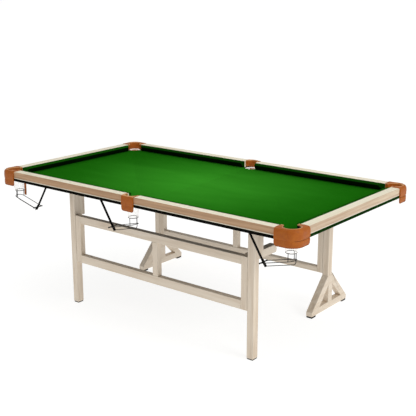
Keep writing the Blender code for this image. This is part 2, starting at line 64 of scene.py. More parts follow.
CORNER_IN = 0.0574
CORNER_R = 0.0430
CORNER_RUN = 0.1157
NOTCH_R = 0.0450
MIDDLE_IN = 0.0400
MIDDLE_R = 0.0385
MIDDLE_NOTCH_R = 0.0405
MIDDLE_HALF = 0.0425
SEAM_DROP = 0.0125
END_ROUND = 0.0120
RING_Z = 0.680
RING_R = 0.0270
WIRE_R = 0.0019
RUN_SLOPE = math.tan(math.radians(14.3))
BAR_RUN = 0.1568
BAR_CLEAR = 0.0046        # the side wires stop this far before the bar's axis
U_WIRE_DROP = 0.0410
LOW_WIRE_DROP = 0.0620
LOW_WIRE_END = 0.1420
ELBOW_R = 0.0180
WELD_HALF = 0.0026
WELD_R = 0.0022
STRAP_FOOT = (0.1430, 0.1030)     # along the runner and below the ring
STRAP_HEAD_RUN = 0.2490
STRAP_HALF = 0.0075
STRAP_THICK = 0.0012
FLOOR_RADIUS = 150.0
NET_TOP = TOP_Z - 0.044
LEFT_SHIFT = 0.036

POCKETS = {
    "front_left": (-1, -1),
    "front_middle": (0, -1),
    "front_right": (1, -1),
    "back_left": (-1, 1),
    "back_middle": (0, 1),
    "back_right": (1, 1),
}
RUNNERS = {"front_left": (1, LEFT_SHIFT), "front_middle": (-1, 0.0), "front_right": (-1, 0.0)}


def pocket_centre(name):
    sx, sy = POCKETS[name]
    if sx == 0:
        return 0.0, MID_Y + sy * (HALF_W - MIDDLE_IN)
    return sx * (HALF_L - CORNER_IN), MID_Y + sy * (HALF_W - CORNER_IN)


# ---------------------------------------------------------------- materials
class Shader:
    """A short way to write node materials: every call adds a node and returns its main output."""

    def __init__(self, name):
        self.mat = bpy.data.materials.new(name)
        self.mat.use_nodes = True
        self.tree = self.mat.node_tree
        self.bsdf = self.tree.nodes["Principled BSDF"]
        coord = self.tree.nodes.new("ShaderNodeTexCoord")
        self.coord = coord.outputs["Object"]

    def put(self, socket, value):
        if isinstance(value, bpy.types.NodeSocket):
            self.tree.links.new(value, socket)
        elif isinstance(value, tuple) and len(value) == 3 and socket.type == "RGBA":
            socket.default_value = (*value, 1.0)
        else:
            socket.default_value = value

    def node(self, kind, out=0, props=None, **inputs):
        node = self.tree.nodes.new("ShaderNode" + kind)
        for key, value in (props or {}).items():
            setattr(node, key, value)
        for key, value in inputs.items():
            self.put(node.inputs[key.replace("_", " ")], value)
        return node.outputs[out]

    def stretched(self, scale, turn=(0.0, 0.0, 0.0)):
        return self.node("Mapping", Vector=self.coord, Scale=scale, Rotation=turn)

    def noise(self, vector, scale=1.0, detail=4.0, rough=0.55, distort=0.0):
        return self.node("TexNoise", Vector=vector, Scale=scale, Detail=detail, Roughness=rough,
                         Distortion=distort)

    def cells(self, vector, scale, feature="F1"):
        return self.node("TexVoronoi", props={"feature": feature}, Vector=vector, Scale=scale)

    def remap(self, value, low, high, to_low=0.0, to_high=1.0):
        node = self.tree.nodes.new("ShaderNodeMapRange")
        for socket, number in zip(list(node.inputs)[:5], (value, low, high, to_low, to_high)):
            self.put(socket, number)
        return node.outputs[0]

    def ramp(self, value, stops):
        node = self.tree.nodes.new("ShaderNodeValToRGB")
        self.put(node.inputs[0], value)
        while len(node.color_ramp.elements) < len(stops):
            node.color_ramp.elements.new(0.5)
        for element, (place, colour) in zip(node.color_ramp.elements, stops):
            element.position = place
            element.color = (*colour, 1.0)
        return node.outputs[0]

    def mix(self, factor, a, b, blend="MIX"):
        node = self.tree.nodes.new("ShaderNodeMix")
        node.data_type = "RGBA"
        node.blend_type = blend
        self.put(node.inputs[0], factor)
        self.put(node.inputs[6], a)
        self.put(node.inputs[7], b)
        return node.outputs[2]

    def sum(self, a, b, operation="ADD"):
        node = self.tree.nodes.new("ShaderNodeMath")
        node.operation = operation
        self.put(node.inputs[0], a)
        self.put(node.inputs[1], b)
        return node.outputs[0]

    def bump(self, height, strength, distance, under=None):
        node = self.tree.nodes.new("ShaderNodeBump")
        node.inputs["Strength"].default_value = strength
        node.inputs["Distance"].default_value = distance
        self.put(node.inputs["Height"], height)
        if under is not None:
            self.put(node.inputs["Normal"], under)
        return node.outputs[0]

    def done(self, **inputs):
        for key, value in inputs.items():
            self.put(self.bsdf.inputs[key.replace("_", " ")], value)
        return self.mat


def wood(name, axis, light, mid, dark, rough=0.5, streaks=0.25):
    """Washed timber: long grain streaks, pores and faint cloudy patches, running along one axis."""
    sh = Shader(name)
    along = [26.0, 26.0, 26.0]
    along[axis] = 1.6
    fine = [420.0, 420.0, 420.0]
    fine[axis] = 9.0
    grain = sh.noise(sh.stretched(tuple(along)), 1.0, 5.0, 0.6, 0.9)
    pores = sh.noise(sh.stretched(tuple(fine)), 1.0, 3.0, 0.6)
    patch = sh.noise(sh.coord, 3.1, 2.0)
    broad = [52.0, 52.0, 52.0]
    broad[axis] = 0.8
    streak = sh.noise(sh.stretched(tuple(broad)), 1.0, 2.0, 0.5, 0.3)
    colour = sh.ramp(grain, [(0.30, dark), (0.48, mid), (0.66, light)])
    colour = sh.mix(sh.remap(pores, 0.56, 0.72, 0.0, 0.40), colour, tuple(c * 0.72 for c in dark))
    colour = sh.mix(sh.remap(streak, 0.50, 0.62, 0.0, streaks), colour, dark)
    colour = sh.mix(sh.remap(patch, 0.40, 0.65, 0.0, 0.30), colour, light)
    coarse = sh.bump(grain, 0.18, 0.0012)
    normal = sh.bump(pores, 0.30, 0.0004, coarse)
    return sh.done(Base_Color=colour, Roughness=sh.remap(grain, 0.3, 0.7, rough + 0.10, rough - 0.08),
                   Normal=normal, Specular_IOR_Level=0.30)


def worn(name, axis, base):
    """The rounded arrises of the timber, where the wash has rubbed thin."""
    sh = Shader(name)
    along = [60.0, 60.0, 60.0]
    along[axis] = 7.0
    wear = sh.noise(sh.stretched(tuple(along)), 1.0, 4.0, 0.65)
    colour = sh.mix(sh.remap(wear, 0.42, 0.62), base, tuple(c * 0.80 for c in base))
    return sh.done(Base_Color=colour, Roughness=sh.remap(wear, 0.3, 0.7, 0.38, 0.60),
                   Normal=sh.bump(wear, 0.15, 0.0006))


PALE = (0.80, 0.705, 0.585)
PALE_MID = (0.735, 0.625, 0.500)
PALE_DARK = (0.610, 0.490, 0.365)
WOOD = [wood(f"washed_wood_{a}", i, PALE, PALE_MID, PALE_DARK) for i, a in enumerate("xyz")]
WORN = [worn(f"worn_edge_{a}", i, (0.76, 0.67, 0.54)) for i, a in enumerate("xyz")]
# Rail tops: a lighter copy of the washed wood, painted light. Rail outer faces: darker, browner copies,
# partly the rails' own browner tone and partly painted shade, the long rails' darker than the end rails'. The
# grain streaks are the wood's own.
LIT_TOP_WOOD = [wood(f"rail_top_{a}", i, (0.88, 0.835, 0.68), (0.83, 0.775, 0.61), (0.74, 0.665, 0.50), 0.42)
            for i, a in enumerate("xy")]
SHADED_SIDE_WOOD = wood("rail_side_x_painted_shade", 0, (0.54, 0.345, 0.205), (0.46, 0.280, 0.158), (0.33, 0.190, 0.104),
                 streaks=0.75)
SHADED_END_WOOD = wood("rail_side_y_painted_shade", 1, (0.70, 0.595, 0.440), (0.60, 0.485, 0.350), (0.43, 0.290, 0.195),
                streaks=0.75)


def billiard_cloth(name, base, deep, edge=None):
    """Napped woollen cloth: a tight twill under short brushed fibres; given an edge colour, a painted pool of
    light, lighter in the middle of a bed and in painted shade toward its edges.
    """
    sh = Shader(name)
    nap = sh.noise(sh.stretched((240.0, 900.0, 900.0)), 1.0, 3.0, 0.6)
    warp = sh.node("TexWave", props={"wave_type": "BANDS", "bands_direction": "DIAGONAL"},
                   Vector=sh.coord, Scale=420.0, Distortion=0.6, Detail=1.0)
    brush = sh.noise(sh.stretched((2.2, 7.0, 7.0)), 1.0, 3.0, 0.5, 0.6)
    weave = sh.sum(sh.sum(warp, 0.35, "MULTIPLY"), nap)
    colour = sh.mix(sh.remap(brush, 0.35, 0.68, 0.0, 0.55), base, deep)
    colour = sh.mix(sh.remap(weave, 0.45, 0.85, 0.0, 0.35), colour, tuple(c * 0.62 for c in base))
    if edge:
        # painted pool of light: the cloth darkens toward the edge colour, painted shade, with distance from
        # the middle of the bed
        spread = sh.node("VectorMath", out=1, props={"operation": "LENGTH"},
                         Vector=sh.node("Mapping", Vector=sh.coord, Location=(0.0, -MID_Y / 0.78, -CLOTH_Z),
                                        Scale=(1.0, 1.0 / 0.78, 1.0)))
        uneven = sh.sum(spread, sh.remap(brush, 0.3, 0.7, -0.05, 0.05))
        ring = sh.node("MapRange", props={"interpolation_type": "SMOOTHSTEP"}, Value=uneven)
        colour = sh.mix(ring, colour, sh.mix(sh.remap(weave, 0.45, 0.85, 0.0, 0.35), edge, deep))
    mat = sh.done(Base_Color=colour, Roughness=0.95, Normal=sh.bump(weave, 0.35, 0.0005))
    sh.bsdf.inputs["Sheen Weight"].default_value = 0.015
    sh.bsdf.inputs["Sheen Roughness"].default_value = 0.45
    sh.bsdf.inputs["Sheen Tint"].default_value = (0.10, 0.80, 0.05, 1.0)
    sh.bsdf.inputs["Specular IOR Level"].default_value = 0.0
    return mat


# The third colour is the painted shade toward the edges of the bed, round a painted pool of light in its
# middle.
CLOTH = billiard_cloth("bed_cloth_green", (0.038, 0.290, 0.018), (0.028, 0.245, 0.012),
                       (0.0040, 0.086, 0.0010))
# Cushion cloths: darker copies of the bed cloth, painted shade; the back cushions' copy is darker still,
# painted shade.
CUSHION_CLOTH = billiard_cloth("cushion_cloth_green", (0.0080, 0.082, 0.0032), (0.0055, 0.062, 0.0022))
SHADED_BACK_CLOTH = billiard_cloth("cushion_cloth_back_painted_shade", (0.0042, 0.046, 0.0020), (0.0030, 0.036, 0.0014))
# Near-black copy of the cloth: painted shade under the cushion noses and on the cloth's edges into the
# pockets.
CUSHION_SHADE = billiard_cloth("cushion_cloth_under_painted_shade", (0.0016, 0.013, 0.0009), (0.0010, 0.009, 0.0006))


def leather(name, base, dark, scale=620.0):
    """Tan hide: pebbled grain, creases, rubbed highlights and darker hollows."""
    sh = Shader(name)
    pebble = sh.cells(sh.coord, scale)
    crease = sh.cells(sh.noise_warp(90.0, 0.004), 75.0, "DISTANCE_TO_EDGE")
    cloud = sh.noise(sh.coord, 34.0, 4.0, 0.6)
    colour = sh.mix(sh.remap(cloud, 0.36, 0.66), dark, base)
    colour = sh.mix(sh.remap(pebble, 0.25, 0.75, 0.0, 0.30), colour, tuple(c * 0.60 for c in dark))
    colour = sh.mix(sh.remap(crease, 0.0, 0.05, 0.35, 0.0), colour, tuple(c * 0.55 for c in dark))
    height = sh.sum(sh.sum(pebble, -0.5, "MULTIPLY"), sh.remap(crease, 0.0, 0.12, 0.0, 0.6))
    return sh.done(Base_Color=colour, Roughness=sh.remap(cloud, 0.3, 0.7, 0.40, 0.58),
                   Normal=sh.bump(height, 0.35, 0.0009), Specular_IOR_Level=0.22)


def noise_warp(self, scale, amount):
    """Coordinates pushed about by noise, so that cell edges wander."""
    drift = self.node("TexNoise", out=1, Vector=self.coord, Scale=scale, Detail=2.0)
    node = self.tree.nodes.new("ShaderNodeVectorMath")
    node.operation = "MULTIPLY_ADD"
    self.put(node.inputs[0], drift)
    node.inputs[1].default_value = (amount, amount, amount)
    self.put(node.inputs[2], self.coord)
    return node.outputs[0]


Shader.noise_warp = noise_warp
LEATHER = leather("tan_leather_hide", (0.440, 0.122, 0.011), (0.375, 0.090, 0.006))
RIM_LEATHER = leather("pale_rim_leather", (0.72, 0.38, 0.17), (0.58, 0.26, 0.10), 800.0)


def plain(name, base, vary, rough, scale, metal=0.0, strength=0.2, depth=0.0004, gloss=0.5):
    """An even material with mottling, uneven gloss and a fine surface texture."""
    sh = Shader(name)
    mottle = sh.noise(sh.coord, scale, 4.0, 0.6)
    speck = sh.noise(sh.coord, scale * 14.0, 2.0)
    colour = sh.mix(mottle, base, vary)
    return sh.done(Base_Color=colour, Metallic=metal, Normal=sh.bump(speck, strength, depth),
                   Specular_IOR_Level=gloss, Roughness=sh.remap(mottle, 0.3, 0.7, rough * 0.8, rough * 1.2))


def edged_board(name, face, end):
    """Bed board in painted shade: the cloth wrapped over its edges is painted black on the long edges and
    very dark green on the two end edges, both as shade.
    """
    sh = Shader(name)
    normal = sh.node("NewGeometry", out=1)
    facing = sh.node("SeparateXYZ", Vector=normal)
    ends = sh.remap(sh.sum(facing, 0.0, "ABSOLUTE"), 0.6, 0.9)
    mottle = sh.noise(sh.coord, 40.0, 4.0, 0.6)
    colour = sh.mix(ends, face, end)
    colour = sh.mix(sh.remap(mottle, 0.35, 0.65, 0.0, 0.5), colour, tuple(c * 0.5 for c in face))
    return sh.done(Base_Color=colour, Roughness=sh.remap(mottle, 0.3, 0.7, 0.70, 0.90),
                   Normal=sh.bump(mottle, 0.2, 0.0004), Specular_IOR_Level=0.0)


SHADED_BOARD_EDGES = edged_board("board_edges_painted_shade", (0.006, 0.006, 0.005), (0.006, 0.034, 0.004))
# Black inner pocket wall: painted shade where the inside of the pocket falls dark.
SHADE_LINER = plain("pocket_wall_painted_shade", (0.008, 0.008, 0.008), (0.004, 0.004, 0.004), 0.70, 60.0, gloss=0.04)
RUBBER = plain("black_rubber", (0.014, 0.014, 0.014), (0.007, 0.007, 0.007), 0.62, 120.0, gloss=0.06)
WIRE_BLACK = plain("dark_wire", (0.020, 0.020, 0.021), (0.008, 0.008, 0.009), 0.30, 160.0, 0.6, 0.05,
                   gloss=0.3)
STEEL = plain("zinc_steel", (0.50, 0.50, 0.51), (0.38, 0.38, 0.40), 0.36, 90.0, 1.0, 0.15)
DARK_THREAD = plain("dark_thread", (0.060, 0.022, 0.010), (0.030, 0.012, 0.006), 0.8, 900.0)
PALE_THREAD = plain("pale_thread", (0.78, 0.66, 0.48), (0.66, 0.52, 0.36), 0.8, 900.0)


def webbing(name, base, dark, gloss=0.05, painted_glow=0.0):
    """Woven tape: a fine herringbone in the cord or strap."""
    sh = Shader(name)
    one = sh.node("TexWave", Vector=sh.coord, Scale=330.0, Distortion=0.4)
    two = sh.node("TexWave", props={"bands_direction": "Z"}, Vector=sh.coord, Scale=260.0, Distortion=0.4)
    rib = sh.sum(one, two, "MULTIPLY")
    colour = sh.mix(rib, dark, base)
    # the emission makes the cord glow though it is no lamp: painted light
    sh.bsdf.inputs["Emission Color"].default_value = (1.0, 0.99, 0.97, 1.0)
    sh.bsdf.inputs["Emission Strength"].default_value = painted_glow
    return sh.done(Base_Color=colour, Roughness=0.85, Normal=sh.bump(rib, 0.5, 0.0006),
                   Specular_IOR_Level=gloss)


STRAP = webbing("black_webbing", (0.014, 0.014, 0.014), (0.004, 0.004, 0.004))
# The net glows a little, painted light, so that it reads pale in the shade under the bed.
NET = webbing("white_cord_net", (0.92, 0.91, 0.89), (0.80, 0.79, 0.76), 0.2, 0.30)


# ---------------------------------------------------------------- mesh helpers
def piece(name, verts, faces, mats, body="top", stands_for=(), slot=None, face_mats=None, smooth=True,
          sharp=35.0):
    mesh = bpy.data.meshes.new(name)
    mesh.from_pydata([tuple(v) for v in verts], [], faces)
    for mat in mats:
        mesh.materials.append(mat)
    if face_mats:
        mesh.polygons.foreach_set("material_index", face_mats)
    bm = bmesh.new()
    bm.from_mesh(mesh)
    bmesh.ops.remove_doubles(bm, verts=bm.verts, dist=1e-6)
    bmesh.ops.recalc_face_normals(bm, faces=bm.faces)
    bm.to_mesh(mesh)
    bm.free()
    obj = bpy.data.objects.new(name, mesh)
    bpy.context.scene.collection.objects.link(obj)
    if smooth:
        mesh.shade_smooth()
        mesh.set_sharp_from_angle(angle=math.radians(sharp))
    return settle(obj, body, stands_for)


def settle(obj, body, stands_for=()):
    if stands_for:
        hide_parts(*([stands_for] if isinstance(stands_for, str) else stands_for))
    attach(obj, body)
    return obj


def bevelled(obj, width, segments=3, angle=40.0, material=-1):
    mod = obj.modifiers.new("edges", "BEVEL")
    mod.width = width
    mod.segments = segments
    mod.limit_method = "ANGLE"
    mod.angle_limit = math.radians(angle)
    mod.material = material
    mod.harden_normals = True
    return obj


def loft(rings, caps=True, cyclic=False):
    """Vertices and faces through rings of equal length. Ring faces come first, in ring order."""
    count = len(rings[0])
    verts = [p for ring in rings for p in ring]
    faces = []
    spans = len(rings) if cyclic else len(rings) - 1
    for i in range(spans):
        a = i * count
        b = (i + 1) % len(rings) * count
        for j in range(count):
            k = (j + 1) % count
            faces.append((a + j, a + k, b + k, b + j))
    if caps and not cyclic:
        faces.append(tuple(range(count))[::-1])
        faces.append(tuple(range((len(rings) - 1) * count, len(rings) * count)))
    return verts, faces


def box_mesh(low, high):
    x0, y0, z0 = low
    x1, y1, z1 = high
    ring = [(x0, y0), (x1, y0), (x1, y1), (x0, y1)]
    return loft([[(x, y, z) for x, y in ring] for z in (z0, z1)])


def prism_x(outline, x0, x1):
    """An outline in Y and Z, pushed along X."""
    return loft([[(x, y, z) for y, z in outline] for x in (x0, x1)])


def merged(parts):
    verts = []
    faces = []
    for part_verts, part_faces in parts:
        start = len(verts)
        verts += part_verts
        faces += [tuple(i + start for i in face) for face in part_faces]
    return verts, faces


def timber(name, node, axis, body, edge=0.0022):
    """A planed bar in place of a CAD bar, with softly worn arrises."""
    low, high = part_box(node)
    verts, faces = box_mesh(low, high)
    obj = piece(name, verts, faces, [WOOD[axis], WORN[axis]], body, node, "pale_wood", smooth=False)
    return bevelled(obj, edge, 3, material=1)


def arc(centre, radius, start, end, steps):
    out = []
    for i in range(steps + 1):
        angle = math.radians(start + (end - start) * i / steps)
        out.append((centre[0] + radius * math.cos(angle), centre[1] + radius * math.sin(angle)))
    return out


def beads(points, radius, sides=6):
    """Small rounded lumps, such as stitches: each is a start, an end and its own thickness."""
    parts = []
    for start, end in points:
        line = end - start
        side = line.cross(Vector((0.31, 0.17, 0.93))).normalized()
        up = line.cross(side).normalized()
        rings = []
        for share, fat in ((0.0, 0.25), (0.14, 0.85), (0.5, 1.0), (0.86, 0.85), (1.0, 0.25)):
            mid = start + line * share
            rings.append([tuple(mid + (side * math.cos(t) + up * math.sin(t)) * radius * fat)
                          for t in (2 * math.pi * i / sides for i in range(sides))])
        parts.append(loft(rings))
    return merged(parts)


def stitch_row(points, pitch, length, lean=0.0):
    """Stitches along a line of points: pitch apart, each this long."""
    pairs = []
    travelled = 0.0
    due = pitch / 2
    for a, b in zip(points, points[1:]):
        step = (b - a).length
        while due <= travelled + step and step > 0:
            mid = a + (b - a) * ((due - travelled) / step)
            way = (b - a).normalized() * length / 2
            rise = Vector((0.0, 0.0, lean))
            pairs.append((mid - way - rise, mid + way + rise))
            due += pitch
        travelled += step
    return pairs


# ---------------------------------------------------------------- rails
def rail_profile():
    """Distance in from the outer face, height and finish, anticlockwise from the bottom outer corner."""
    lip = 0.0050
    pts = [(0.0010, RAIL_Z), (RAIL_WIDE - 0.001, RAIL_Z), (RAIL_WIDE, RAIL_Z + 0.001)]
    pts += [(RAIL_WIDE, TOP_Z - 0.0022)]
    pts += [(RAIL_WIDE - 0.0022 + a, TOP_Z - 0.0022 + b) for a, b in arc((0, 0), 0.0022, 22, 90, 3)]
    pts += [(0.0040 + a, TOP_Z - 0.0040 + b) for a, b in arc((0, 0), 0.0040, 90, 180, 6)]
    pts += [(0.0, RAIL_Z + lip + 0.0012), (0.0009, RAIL_Z + lip + 0.0005), (0.0, RAIL_Z + lip),
            (0.0, RAIL_Z + 0.001)]
    return pts


def build_rail(node, axis, side, face_wood):
    """Axis is the rail's direction and side the sign of its outer face."""
    low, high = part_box(node)
    outer = high[1 - axis] if side > 0 else low[1 - axis]
    profile = rail_profile()
    rings = []
    steps = 8
    for i in range(steps + 1):
        at = low[axis] + (high[axis] - low[axis]) * i / steps
        ring = []
        for d, z in profile:
            across = outer - side * d
            ring.append((at, across, z) if axis == 0 else (across, at, z))
        rings.append(ring)
    verts, faces = loft(rings)
    # top, inner face and underside take the lighter copy, painted light; the outer face takes the darker
    # copy, partly painted shade; the lip takes the worn edge
    mats = []
    for i in range(steps):
        for j, (d, z) in enumerate(profile):
            nd, nz = profile[(j + 1) % len(profile)]
            if z < RAIL_Z + 0.0052 and nz < RAIL_Z + 0.0052 and d < 0.01 and nd < 0.01:
                mats.append(2)
            elif max(d, nd) < 0.0030:
                mats.append(1)
            else:
                mats.append(0)
    mats += [0, 0]
    obj = piece(node + "_timber", verts, faces, [LIT_TOP_WOOD[axis], face_wood, WORN[axis]], "top", node,
                "pale_wood", mats, sharp=50.0)
    return obj


for end, node_x in (("left", -1), ("right", 1)):
    build_rail(f"rail_front_{end}", 0, -1, SHADED_SIDE_WOOD)
    build_rail(f"rail_back_{end}", 0, 1, SHADED_SIDE_WOOD)
    build_rail(f"rail_{end}", 1, node_x, SHADED_END_WOOD)


# ---------------------------------------------------------------- cushions
def cushion_profile():
    """Distance in from the rail and height: crowned top, round nose, undercut and foot."""
    drop = TOP_Z
    pts = [(0.0, CLOTH_Z + 0.0012), (0.0115, CLOTH_Z + 0.0012), (0.0150, CLOTH_Z + 0.0050)]
    pts += [(0.0215, CLOTH_Z + 0.0150), (0.0278, CLOTH_Z + 0.0245)]
    pts += [(CUSHION_REACH - 0.0042 + a, drop - 0.0098 + b) for a, b in arc((0, 0), 0.0042, -50, 75, 7)]
    pts += [(0.0240, drop - 0.0040), (0.0170, drop - 0.0022), (0.0090, drop - 0.0013),
            (0.0030, drop - 0.0014)]
    pts += [(0.0, drop - 0.0030)]
    return pts


def build_cushion(node, axis, side, ends):
    """ends holds, for the low and the high end, how far the nose is cut back from the rail face."""
    low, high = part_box(node)
    face = high[1 - axis] if side > 0 else low[1 - axis]
    profile = cushion_profile()
    middle = (0.012, TOP_Z - 0.018)
    stops = [(0.0, 0.80), (0.0006, 0.92), (0.0018, 0.985), (0.0035, 1.0)]
    rings = []
    length = high[axis] - low[axis]
    count = 36
    shares = [i / count for i in range(count + 1)]

    def ring_at(share, inset, fat):
        ring = []
        for d, z in profile:
            d2 = middle[0] + (d - middle[0]) * fat
            z2 = middle[1] + (z - middle[1]) * fat
            depth = max(d2, 0.0) / CUSHION_REACH
            a = low[axis] + ends[0] * depth
            b = high[axis] - ends[1] * depth
            sway = 0.00025 * math.sin(share * length * 41.0) * math.sin(math.pi * share)
            at = a + (b - a) * share + inset
            across = face - side * (d2 + sway * depth)
            ring.append((at, across, z2) if axis == 0 else (across, at, z2))
        return ring

    rings += [ring_at(0.0, inset, fat) for inset, fat in stops[:-1]]
    rings += [ring_at(s, 0.0035 if i == 0 else (-0.0035 if i == count else 0.0), 1.0)
              for i, s in enumerate(shares)]
    rings += [ring_at(1.0, -inset, fat) for inset, fat in stops[:-1][::-1]]
    verts, faces = loft(rings)
    nose = len(profile)
    # the foot, undercut and lower nose take the near-black cloth, painted shade
    mats = [1 if 3 <= i % nose < 8 or i % nose < 3 else 0 for i in range(len(faces) - 2)] + [0, 0]
    # the back cushions take the darker copy, painted shade
    upper = SHADED_BACK_CLOTH if "back" in node else CUSHION_CLOTH
    obj = piece(node + "_pad", verts, faces, [upper, CUSHION_SHADE], "top", node, "green_cloth", mats,
                sharp=70.0)
    return obj


MITRE = 0.0320
SIDE_MITRE = 0.0100
for side_name, sy in (("front", -1), ("back", 1)):
    build_cushion(f"cushion_{side_name}_left", 0, sy, (MITRE, SIDE_MITRE))
    build_cushion(f"cushion_{side_name}_right", 0, sy, (SIDE_MITRE, MITRE))
build_cushion("cushion_left", 1, -1, (MITRE, MITRE))
build_cushion("cushion_right", 1, 1, (MITRE, MITRE))


# ---------------------------------------------------------------- bed and cloth
def bed_outline(corner_r, middle_r, steps):
    """The bed's plan, anticlockwise, with a notch at each pocket."""
    def corner(sx, sy):
        pts = [(CORNER_IN + corner_r, 0.0)] + arc((CORNER_IN, CORNER_IN), corner_r, 0, 90, steps)
        pts += [(0.0, CORNER_IN + corner_r)]
        pts = [(sx * (HALF_L - u), MID_Y + sy * (HALF_W - v)) for u, v in pts]
        return pts if sx * sy < 0 else pts[::-1]

    def middle(sy):
        centre = (0.0, MID_Y + sy * (HALF_W - MIDDLE_IN))
        pts = [(-middle_r, MID_Y + sy * HALF_W), *arc(centre, middle_r, 180, 0, steps + 2)] if sy < 0 else \
            [(middle_r, MID_Y + sy * HALF_W), *arc(centre, middle_r, 0, -180, steps + 2)]
        return pts + [(-pts[0][0], pts[0][1])]

    return middle(-1) + corner(1, -1) + corner(1, 1) + middle(1) + corner(-1, 1) + corner(-1, -1)


def build_cloth():
    outline = bed_outline(NOTCH_R, MIDDLE_NOTCH_R, 20)
    inner = bed_outline(NOTCH_R + 0.0012, MIDDLE_NOTCH_R + 0.0012, 20)
    rings = [[(x, y, CLOTH_Z - 0.0010) for x, y in outline],
             [(x, y, CLOTH_Z - 0.0005) for x, y in outline],
             [(x, y, CLOTH_Z) for x, y in inner]]
    verts, faces = loft(rings)
    # the sheet's edges take the near-black cloth, painted shade where the cloth turns down into the pockets
    mats = [1] * (len(faces) - 1) + [0]
    obj = piece("bed_cloth_sheet", verts, faces, [CLOTH, CUSHION_SHADE], "top", "bed_cloth", "green_cloth",
                mats, sharp=60.0)


build_cloth()
# the board's edges carry the cloth wrapped over them, in painted shade
for board_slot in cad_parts["bed_board"].material_slots:
    board_slot.material = SHADED_BOARD_EDGES


# ---------------------------------------------------------------- leathers
def leather_profile(width, lift, pinch):
    """Cross-section of a leather: distance in from its face, height and finish (1 pale rim, 2 black painted
    shade on the inner wall).
    """
    z = SKIRT_Z + lift
    seam = RAIL_Z
    low = RAIL_Z - SEAM_DROP
    lead = min(0.0085, width * 0.40)
    rim = min(0.0062, width * 0.36)
    pts = [(0.0046, z, 0), (0.0016, z, 0), (0.0002, z + 0.0028, 0), (-0.0010, z + 0.0090, 0),
           (-0.0014, z + 0.0150, 0), (-0.0011, low - 0.0060, 0), (-0.0006 + pinch * 0.4, low - 0.0022, 0),
           (-0.0004 + pinch, low, 0), (-0.0008 + pinch * 0.4, low + 0.0022, 0), (-0.0015, low + 0.0080, 0),
           (-0.0020, low + 0.0180, 0), (-0.0022, low + 0.0290, 0), (-0.0012, TOP_Z - 0.0110, 0),
           (0.0006, TOP_Z - 0.0056, 0),
           (lead * 0.42, TOP_Z - 0.0008, 0), (lead, TOP_Z + 0.0024, 0),
           (lead + (width - rim - lead) * 0.35, TOP_Z + 0.0036, 0),
           (lead + (width - rim - lead) * 0.75, TOP_Z + 0.0034, 0),
           (width - rim, TOP_Z + 0.0020, 1), (width - rim * 0.70, TOP_Z + 0.0033, 1),
           (width - rim * 0.38, TOP_Z + 0.0034, 1), (width - 0.0004, TOP_Z + 0.0016, 1),
           (width + 0.0003, TOP_Z - 0.0030, 2), (width, TOP_Z - 0.0110, 2), (width, seam + 0.0085, 2),
           (width - 0.0012, seam + 0.0030, 2), (width - min(0.004, width * 0.3), seam + 0.0020, 0),
           (min(0.0085, width * 0.7), seam + 0.0020, 0), (0.0062, seam - 0.0010, 0),
           (0.0053, seam - 0.0070, 0), (0.0050, z + 0.0020, 0)]
    return pts


def corner_stations():
    """Outer points, inward directions and widths round the (+X, -Y) corner; distances from the corner."""
    stations = []
    spots = [CORNER_RUN - d for d in (0.0, 0.0010, 0.0022, 0.0038, 0.0060, 0.0085, 0.0110, 0.0132)]
    spots += [CORNER_IN + CORNER_R * math.cos(math.radians(t)) for t in range(2, 88, 4)]
    for u in spots:
        reach = CORNER_R ** 2 - (u - CORNER_IN) ** 2
        v = RAIL_WIDE + 0.0018 if u > CORNER_IN + CORNER_R else CORNER_IN - math.sqrt(max(reach, 0.0))
        stations.append(((u, -LEATHER_OUT), (0.0, 1.0), v + LEATHER_OUT))
    radius = CORNER_IN + LEATHER_OUT
    for i in range(49):
        angle = math.radians(90 * i / 48)
        way = (math.sin(angle), math.cos(angle))
        spot = (CORNER_IN - radius * way[0], CORNER_IN - radius * way[1])
        stations.append((spot, way, radius - CORNER_R))
    for (u, v), (a, b), width in stations[len(spots) - 1::-1]:
        stations.append(((v, u), (b, a), width))
    return stations


def middle_stations():
    """The same for a middle leather, along X, measured from the outer face of the rail."""
    spots = [-MIDDLE_HALF + 0.0003, -MIDDLE_HALF + 0.0012, -MIDDLE_HALF + 0.0026]
    spots += [MIDDLE_R * math.sin(math.radians(t)) for t in range(-86, 87, 4)]
    spots += [-spot for spot in spots[2::-1]]
    stations = []
    for x in spots:
        reach = MIDDLE_R ** 2 - x ** 2
        v = 0.0430 if reach <= 0 else max(0.0030, MIDDLE_IN - math.sqrt(reach))
        stations.append(((x, -LEATHER_OUT), (0.0, 1.0), min(v, 0.0430) + LEATHER_OUT))
    return stations


